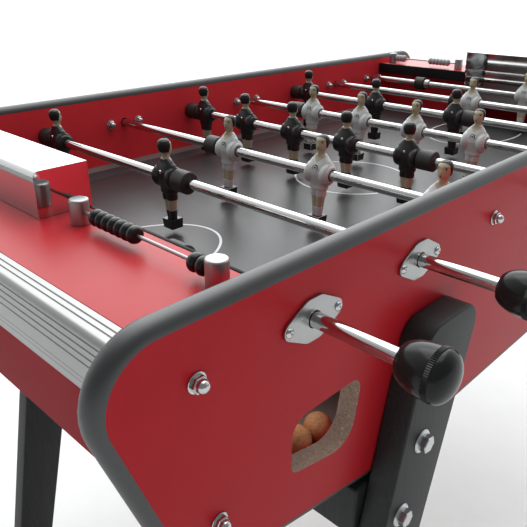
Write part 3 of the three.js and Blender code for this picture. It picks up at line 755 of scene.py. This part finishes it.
def head(bm, skin, hair):
    """Head with a nose and brow, and a cap of hair."""
    low_z, high_z = HEAD[0][0], HEAD[-1][0]
    rows = []
    for k in range(33):
        z = low_z + (high_z - low_z) * (1 - math.cos(math.pi * k / 32)) / 2
        rows.append([bm.verts.new(head_point(2 * math.pi * j / 48, z)) for j in range(48)])
    skin_over(bm, rows, skin)

    # Hair: a cap that leaves the face free, set proud of the head. The edge is its angle from the front.
    def edge(z):
        if z > 48.0:
            return 0.0
        if z > 45.4:
            return 1.22 * math.sqrt(max(0.0, 1 - ((z - 45.4) / 2.6) ** 2))
        return 1.22 + 0.42 * max(0.0, (43 - z) / 10)

    base = 33.4
    levels = [base + (high_z - base) * math.sin(math.pi / 2 * k / 26) for k in range(27)]
    outer, inner = [], []
    for z in levels:
        start = edge(z)
        angles = [start + (2 * math.pi - 2 * start) * j / 40 for j in range(41)]
        outer.append([bm.verts.new(head_point(a, z, 0.75)) for a in angles])
        inner.append([bm.verts.new(head_point(a, z, -0.4)) for a in angles])
    for shell in (outer, inner):
        for low, high in zip(shell, shell[1:]):
            for j in range(40):
                bm.faces.new([low[j], low[j + 1], high[j + 1], high[j]]).material_index = hair
    for j in range(40):
        bm.faces.new([outer[0][j], outer[0][j + 1], inner[0][j + 1], inner[0][j]]).material_index = hair
    for end in (0, 40):
        for k in range(26):
            bm.faces.new([outer[k][end], outer[k + 1][end], inner[k + 1][end],
                          inner[k][end]]).material_index = hair
    bm.faces.new(outer[-1]).material_index = hair


def spot(bm, angle, z, half_angle, half_height, mat, squareness=1.0):
    """A painted mark laid on the face."""
    ring = []
    for k in range(16):
        c, s = math.cos(2 * math.pi * k / 16), math.sin(2 * math.pi * k / 16)
        c, s = math.copysign(abs(c) ** squareness, c), math.copysign(abs(s) ** squareness, s)
        ring.append(bm.verts.new(head_point(angle + half_angle * c, z + half_height * s, 0.16)))
    bm.faces.new(ring).material_index = mat


def loft(bm, sections, mat, groove=0.0, power=0.8):
    """Sections are (z, half depth, half width, forward offset); groove parts them into two legs."""
    count = 40
    rows = []
    for z, a, b, forward in sections:
        row = []
        for k in range(count):
            t = 2 * math.pi * k / count
            c, s = math.cos(t), math.sin(t)
            y = b * math.copysign(abs(c) ** power, c)
            x = a * math.copysign(abs(s) ** power, s)
            x *= 1 - groove * math.exp(-(y / (0.2 * b)) ** 2)
            row.append(bm.verts.new((x + forward, y, z)))
        rows.append(row)
    skin_over(bm, rows, mat)


def shirt_mesh():
    """Jersey with its sleeves, fused into one skin."""
    bm = bmesh.new()
    loft(bm, [(-21.5, 7.8, 11.8, 0), (-20.5, 8.8, 12.8, 0), (-15, 8.8, 12.4, 0), (-8, 10.6, 12.2, 0),
              (0, 12.4, 13.2, 0), (8, 11.8, 14.6, 0), (13, 9.8, 15.2, 0), (17, 7.8, 14.2, -0.3),
              (20.5, 6.1, 11.6, -0.5), (23.5, 5.4, 8.6, -0.5), (25.8, 4.9, 6.0, -0.3)], 0, power=0.76)
    for s in (-1, 1):
        profile = [(0, 6.0), (ARM_R - 3.2, 6.0), (ARM_R - 1.2, 9.0), (ARM_R, 12.0), (ARM_R, 14.6),
                   (ARM_R - 0.9, 16.6), (ARM_R - 3.4, 17.4), (ARM_R - 3.8, 18.8),
                   (10.2, MAN_HALF), (0, MAN_HALF)]
        revolve(bm, [(r, s * h) for r, h in profile], 48)
        made = bmesh.ops.create_uvsphere(bm, u_segments=24, v_segments=16, radius=1.0)["verts"]
        for v in made:
            v.co = Vector((v.co.x * 6.4, v.co.y * 4.6 + s * 12.4, v.co.z * 10.5 + 8.5))
    fix_normals(bm)
    mesh = bpy.data.meshes.new("shirt_raw")
    bm.to_mesh(mesh)
    bm.free()
    o = bpy.data.objects.new("shirt_raw", mesh)
    bpy.context.scene.collection.objects.link(o)
    fuse = o.modifiers.new("fuse", "REMESH")
    fuse.mode = "VOXEL"
    fuse.voxel_size = 0.75
    soften = o.modifiers.new("soften", "SMOOTH")
    soften.factor = 0.5
    soften.iterations = 10
    made = bpy.data.meshes.new_from_object(o.evaluated_get(bpy.context.evaluated_depsgraph_get()))
    bpy.data.objects.remove(o)
    return made


SHIRT = shirt_mesh()


def man_mesh(team):
    """A painted figure that faces +X, with its feet down and a slight lean back."""
    cloth = SHIRT_BLACK if team == "black" else SHIRT_WHITE
    mats = [cloth, SKIN, HAIR, GLOSS_BLACK, MOUTH, STEEL, GAP_SHADE, BADGE]
    shirt, skin, hair, black, red, metal, dark, pale = range(8)
    bm = bmesh.new()
    bm.from_mesh(SHIRT)
    for f in bm.faces:
        c = f.calc_center_median()
        neck_opening = c.z > 14.8 + 0.9 * abs(c.y) and c.x > 0
        f.material_index = skin if neck_opening or c.z > 23.6 + 0.3 * abs(c.y) else shirt
    neck = [(17, 5.0, 5.2, 0), (23, 5.1, 5.2, 0.1), (28, 5.0, 5.0, 0.3), (31, 5.2, 5.0, 0.4)]
    loft(bm, neck, skin, power=1.0)
    loft(bm, [(-30.4, 6.8, 9.8, 0), (-30.0, 7.9, 10.9, 0), (-26, 8.1, 10.9, 0), (-20, 8.0, 10.4, 0),
              (-16, 8.0, 10.2, 0)], shirt, groove=0.28)
    loft(bm, [(-46.4, 5.6, 7.9, 0), (-38, 6.5, 8.9, 0), (-28, 7.2, 9.8, 0)], skin, groove=0.24)
    loft(bm, [(-58, 5.0, 7.0, 0), (-53, 5.4, 7.5, 0), (-46.6, 6.0, 8.3, 0), (-45.6, 6.0, 8.3, 0),
              (-45.2, 5.4, 7.7, 0)], shirt, groove=0.18)
    foot = box(bm, (-9.9, -9.9, -70.5), (9.9, 9.9, -57), 0.0, 1, black)
    for v in foot:
        if v.co.z < -65:
            v.co.x *= 0.93
            v.co.y *= 0.93
    edges = dict.fromkeys(e for v in foot for e in v.link_edges)
    bmesh.ops.bevel(bm, geom=list(edges), offset=0.7, segments=2, affect="EDGES")
    head(bm, skin, hair)
    for s in (-1, 1):
        spot(bm, s * 0.68, 43.3, 0.27, 0.5, black, 0.4)
        spot(bm, s * 0.68, 41.2, 0.12, 0.95, black)
    spot(bm, 0, 32.8, 0.17, 1.25, red)
    for s in (-1, 1):
        # Dark rings at the ends of the arm bosses are painted shade of the gap round the rod.
        revolve(bm, [(6.5, s * (MAN_HALF + 0.05)), (7.8, s * (MAN_HALF + 0.05))], 32, mat=dark)
    chest, back, at = 12.1, -11.7, (0, 0, 8.5)
    revolve(bm, [(0, back - 0.7), (1.9, back - 0.7), (2.3, back - 0.3), (2.3, -8.0)], 20, "X", at, metal)
    ring = [(1.5, chest - 0.5), (1.8, chest), (2.9, chest), (3.3, chest - 0.5), (3.3, 8.0)]
    revolve(bm, ring, 24, "X", at, pale if team == "white" else metal)
    # The dark centre and the dark ring round the chest screw are painted shade of its hole and recess.
    revolve(bm, [(0, chest - 0.45), (1.6, chest - 0.45)], 20, "X", at, dark)
    revolve(bm, [(3.3, chest - 0.25), (4.1, chest - 0.3), (4.1, 8.0)], 24, "X", at, dark)
    for v in bm.verts:
        v.co.x -= MAN_LEAN * v.co.z
    return finish_mesh(f"man_{team}", bm, mats, 50)


# ---------------------------------------------------------------- rods

def bumper_mesh():
    bm = bmesh.new()
    half = BUMPER_LEN / 2
    revolve(bm, [(TUBE_R, -half), (12.6, -half), (13.4, -half + 0.3), (BUMPER_R, -half + 1.2),
                 (BUMPER_R, half - 1.2), (13.4, half - 0.3), (12.6, half), (TUBE_R, half)], 48)
    fix_normals(bm)
    return finish_mesh("bumper", bm, [RUBBER], 40)


def collar_mesh():
    """Clamp ring with its screw."""
    bm = bmesh.new()
    revolve(bm, [(TUBE_R, -6), (9.6, -6), (10.4, -5.4), (10.4, 5.4), (9.6, 6), (TUBE_R, 6)], 40)
    # The screw's top takes the near black gap material: painted shade of its socket.
    revolve(bm, [(0, 10.7), (1.6, 10.7), (2.6, 10.4), (2.6, 9.0)], 16, "Z", (0, 0, 0), 1)
    fix_normals(bm)
    return finish_mesh("collar", bm, [STEEL, GAP_SHADE], 40)


def handle_mesh():
    """Egg-shaped knob along +Y: domed cap at 0, knurled ring, round body, neck."""
    r, neck, ring, ribs = 20.0, 8.5, (11.0, 15.6), 76
    quarter = [math.pi / 2 * k / 16 for k in range(17)]
    bm = bmesh.new()
    cap = [(19.5 * math.sin(a), ring[0] * (1 - math.cos(a))) for a in quarter]
    revolve(bm, cap + [(19.2, ring[0] + 0.05), (19.2, ring[0] + 0.4)], 72)
    rows = []
    for y, depth in ((ring[0] + 0.4, 0.3), (ring[0] + 0.8, 0), (ring[1] - 0.4, 0), (ring[1], 0.3)):
        radii = [r - depth - (0.5 if k % 2 else 0) for k in range(2 * ribs)]
        angles = [math.pi * k / ribs for k in range(2 * ribs)]
        rows.append([bm.verts.new((q * math.cos(a), y, q * math.sin(a))) for q, a in zip(radii, angles)])
    for a, b in zip(rows, rows[1:]):
        for k in range(2 * ribs):
            m = (k + 1) % (2 * ribs)
            bm.faces.new([a[k], a[m], b[m], b[k]])
    reach = HANDLE_LEN - ring[1]
    body = [(neck + (19.6 - neck) * math.cos(a), ring[1] + reach * math.sin(a)) for a in quarter]
    bore = [(TUBE_R + 0.1, HANDLE_LEN), (TUBE_R + 0.1, HANDLE_LEN - 6)]
    revolve(bm, [(19.1, ring[1] - 0.1), *body, *bore], 72)
    fix_normals(bm)
    return finish_mesh("handle", bm, [HANDLE_BLACK], 32)


def bearing_plate_mesh():
    corners = [(-42.5, 0, 8), (-8, -18.5, 12), (8, -18.5, 12), (42.5, 0, 8), (8, 18.5, 12), (-8, 18.5, 12)]
    back = -WALL_OUT - 0.2
    return plate_mesh("bearing_plate", rounded(corners, 8), [circle(0, 0, 7.3, 40)], back - PLATE_T, back,
                      [PLATE], bevel=0.3, steps=2)


def button_screw_mesh():
    bm = bmesh.new()
    dome = [(4.2 * math.cos(a), -0.2 - 2.1 * math.sin(a)) for a in [math.pi / 2 * k / 7 for k in range(7)]]
    revolve(bm, [(4.2, 0.3), *dome, (1.5, -2.3), (1.3, -1.2), (0, -1.2)], 28)
    fix_normals(bm)
    return finish_mesh("button_screw", bm, [STEEL], 30)


def ring_mesh(name, r0, r1, depth, material):
    bm = bmesh.new()
    revolve(bm, [(r0, 0), (r1, 0), (r1, -depth), (r0, -depth), (r0, 0)], 36)
    fix_normals(bm)
    return finish_mesh(name, bm, [material], 30)


def rod_kit():
    """The meshes that all rods share."""
    return {"men": {team: man_mesh(team) for team in ("black", "white")},
            "bumper": bumper_mesh(), "collar": collar_mesh(), "knob": handle_mesh(),
            "plate": bearing_plate_mesh(), "screw": button_screw_mesh(), "nut": cap_nut_mesh("rod_nut"),
            # The dark ring round the tube at the bearing plate is painted shade of the gap there.
            "gap": ring_mesh("bush_gap_shade", TUBE_R + 0.1, 7.25, 0.5, GAP_SHADE),
            # The inner bush takes the brighter inner red, which is painted light.
            "bush": ring_mesh("inner_bush", 8.4, 10.4, 0.2, INNER_RED_PAINTED_LIGHT)}


def rod(i, count, kit):
    """One telescopic rod: tube, men, bumpers, handle, inner rod, bearing plate and their fasteners."""
    name, x = rod_name(i), rod_x(i)
    team = name.split("_")[-1]
    s = -1 if team == "black" else 1          # the side its handle is on
    turn = 0 if team == "black" else 180
    low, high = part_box(name + "_tube_and_men")
    end = (high.y if s < 0 else -low.y) * 1000     # tube's inner end, seen from the handle
    shift = end - REACH[count]

    def where(y):
        return x, -s * y, 0

    start = -handle_start(name, s)
    bm = bmesh.new()
    revolve(bm, [(TUBE_BORE_R, end - 30), (TUBE_BORE_R, end), (TUBE_R, end), (TUBE_R, start - 12)], 48)
    fix_normals(bm)
    piece(name + "_tube", finish_mesh(name + "_tube", bm, [CHROME], 40), name,
          [name + "_tube_and_men"], (x, 0, 0), turn)
    for n, y in enumerate(MEN[count]):
        piece(f"{name}_man_{n + 1}", kit["men"][team], name, (), where(y + shift), turn)
    for n, y in enumerate((REACH[count] - BUMPER_LEN / 2, BUMPER_LEN / 2 - REACH[count])):
        piece(f"{name}_bumper_{n + 1}", kit["bumper"], name, (), where(y + shift), turn)
        if count == 1:
            inward = -18.2 if y > 0 else 18.2
            piece(f"{name}_collar_{n + 1}", kit["collar"], name, (), where(y + shift + inward), turn)
    piece(name + "_knob", kit["knob"], name, [name + "_handle"],
          where(start - HANDLE_LEN), turn)
    bm = bmesh.new()
    revolve(bm, [(0, -CORE_END), (CORE_R - 0.3, -CORE_END), (CORE_R, 0.5 - CORE_END),
                 (CORE_R, WALL_OUT)], 32)
    fix_normals(bm)
    piece(name + "_core", finish_mesh(name + "_core", bm, [STEEL], 40), name + "_spin",
          [name + "_inner_rod"], (x, 0, 0), turn)
    piece(name + "_nut", kit["nut"], name + "_spin", (), where(WALL_OUT + 0.1), turn + 180)
    piece(name + "_plate", kit["plate"], "table", [name + "_bearing_plate"], (x, 0, 0), turn)
    piece(name + "_gap", kit["gap"], "table", (), where(-WALL_OUT - 1.2), turn)
    piece(name + "_bush", kit["bush"], "table", (), where(-WALL_IN), turn + 180)
    for n, dx in enumerate((-SCREW_X, SCREW_X)):
        front = (x + dx, s * (WALL_OUT + PLATE_T + 0.2), 0)
        back = (x + dx, s * WALL_IN, 0)
        piece(f"{name}_screw_{n + 1}", kit["screw"], "table", (), front, turn)
        piece(f"{name}_inner_nut_{n + 1}", kit["nut"], "table", (), back, turn + 180)


def handle_start(name, s):
    """Distance from the middle to a handle's inner end."""
    low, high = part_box(name + "_handle")
    return (-high.y if s < 0 else low.y) * 1000


# ---------------------------------------------------------------- camera, light, floor

def studio():
    """Camera, bright studio sky, lamps and a pale floor."""
    scene = bpy.context.scene
    cam = bpy.data.objects.new("camera", bpy.data.cameras.new("camera"))
    scene.collection.objects.link(cam)
    cam.location = (-0.8428, -0.6092, 1.0736)
    cam.rotation_euler = (math.radians(65.17), 0, math.radians(-45.85))
    cam.data.lens = 42.39
    cam.data.sensor_width = 36
    cam.data.clip_start = 0.01
    scene.camera = cam
    scene.view_settings.view_transform = "Standard"

    world = bpy.data.worlds.new("studio")
    world.use_nodes = True
    nodes, links = world.node_tree.nodes, world.node_tree.links
    coord = nodes.new("ShaderNodeTexCoord")

    def glow(direction, start, end, low, high):
        """Brightness that rises from low to high as the sky nears a direction."""
        dot = nodes.new("ShaderNodeVectorMath")
        dot.operation = "DOT_PRODUCT"
        dot.inputs[1].default_value = Vector(direction).normalized()
        links.new(coord.outputs["Generated"], dot.inputs[0])
        rise = nodes.new("ShaderNodeMapRange")
        rise.interpolation_type = "SMOOTHSTEP"
        for key, value in zip(("From Min", "From Max", "To Min", "To Max"), (start, end, low, high)):
            rise.inputs[key].default_value = value
        links.new(dot.outputs["Value"], rise.inputs["Value"])
        return rise.outputs["Result"]

    total = nodes.new("ShaderNodeMath")
    total.operation = "ADD"
    links.new(glow((0.70, 0.72, 0.0), -0.5, 0.8, 0.25, 1.35), total.inputs[0])
    links.new(glow((0.58, 0.60, 0.55), 0.74, 0.95, 0.0, 2.2), total.inputs[1])
    nodes["Background"].inputs["Color"].default_value = (0.97, 0.99, 1.0, 1)
    links.new(total.outputs["Value"], nodes["Background"].inputs["Strength"])
    scene.world = world

    def softbox(name, at, target, size, watts):
        lamp = bpy.data.lights.new(name, "AREA")
        lamp.shape = "RECTANGLE"
        lamp.size, lamp.size_y = size
        lamp.energy = watts
        o = bpy.data.objects.new(name, lamp)
        scene.collection.objects.link(o)
        o.location = at
        o.rotation_euler = (Vector(target) - Vector(at)).to_track_quat("-Z", "Y").to_euler()
        o.visible_camera = False

    softbox("overhead", (0.2, 0.1, 3.4), (0, 0, 0.8), (2.6, 2.6), 41)
    level = AXIS / 1000
    over_tray, at_tray = (-0.485, -0.290, level - 0.100), (-0.485, -0.320, level - 0.160)
    softbox("tray_fill", over_tray, at_tray, (0.05, 0.03), 0.015)

    bm = bmesh.new()
    bmesh.ops.create_grid(bm, x_segments=1, y_segments=1, size=20)
    mesh = bpy.data.meshes.new("floor")
    bm.to_mesh(mesh)
    bm.free()
    floor = bpy.data.objects.new("floor", mesh)
    scene.collection.objects.link(floor)
    mesh.materials.append(varied("studio_floor", (0.86, 0.86, 0.86), 0.6, 0.05, 40, 0.0001, tone=0.01))


side_wall()
edging()
deck()
end_profile()
end_panel()
goal_box()
field()
legs()
beams()
small_fasteners()
score_rails()
beads_end = POST_Y[1] - POST_R - GAP
beads("beads_black_seven", 7, BEADS_START, -1, BEAD_BLACK)
beads("beads_black_two", 2, beads_end - 2 * BEAD_PITCH, -1, BEAD_BLACK)
beads("beads_white_six", 6, BEADS_START, 1, BEAD_GREY)
beads("beads_white_three", 3, beads_end - 3 * BEAD_PITCH, 1, BEAD_GREY)
balls()
shared = rod_kit()
for index, men_count in enumerate(ROD_MEN):
    rod(index, men_count, shared)
paint(NODES["ball_tray"], BARE)
studio()

bpy.context.view_layer.update()
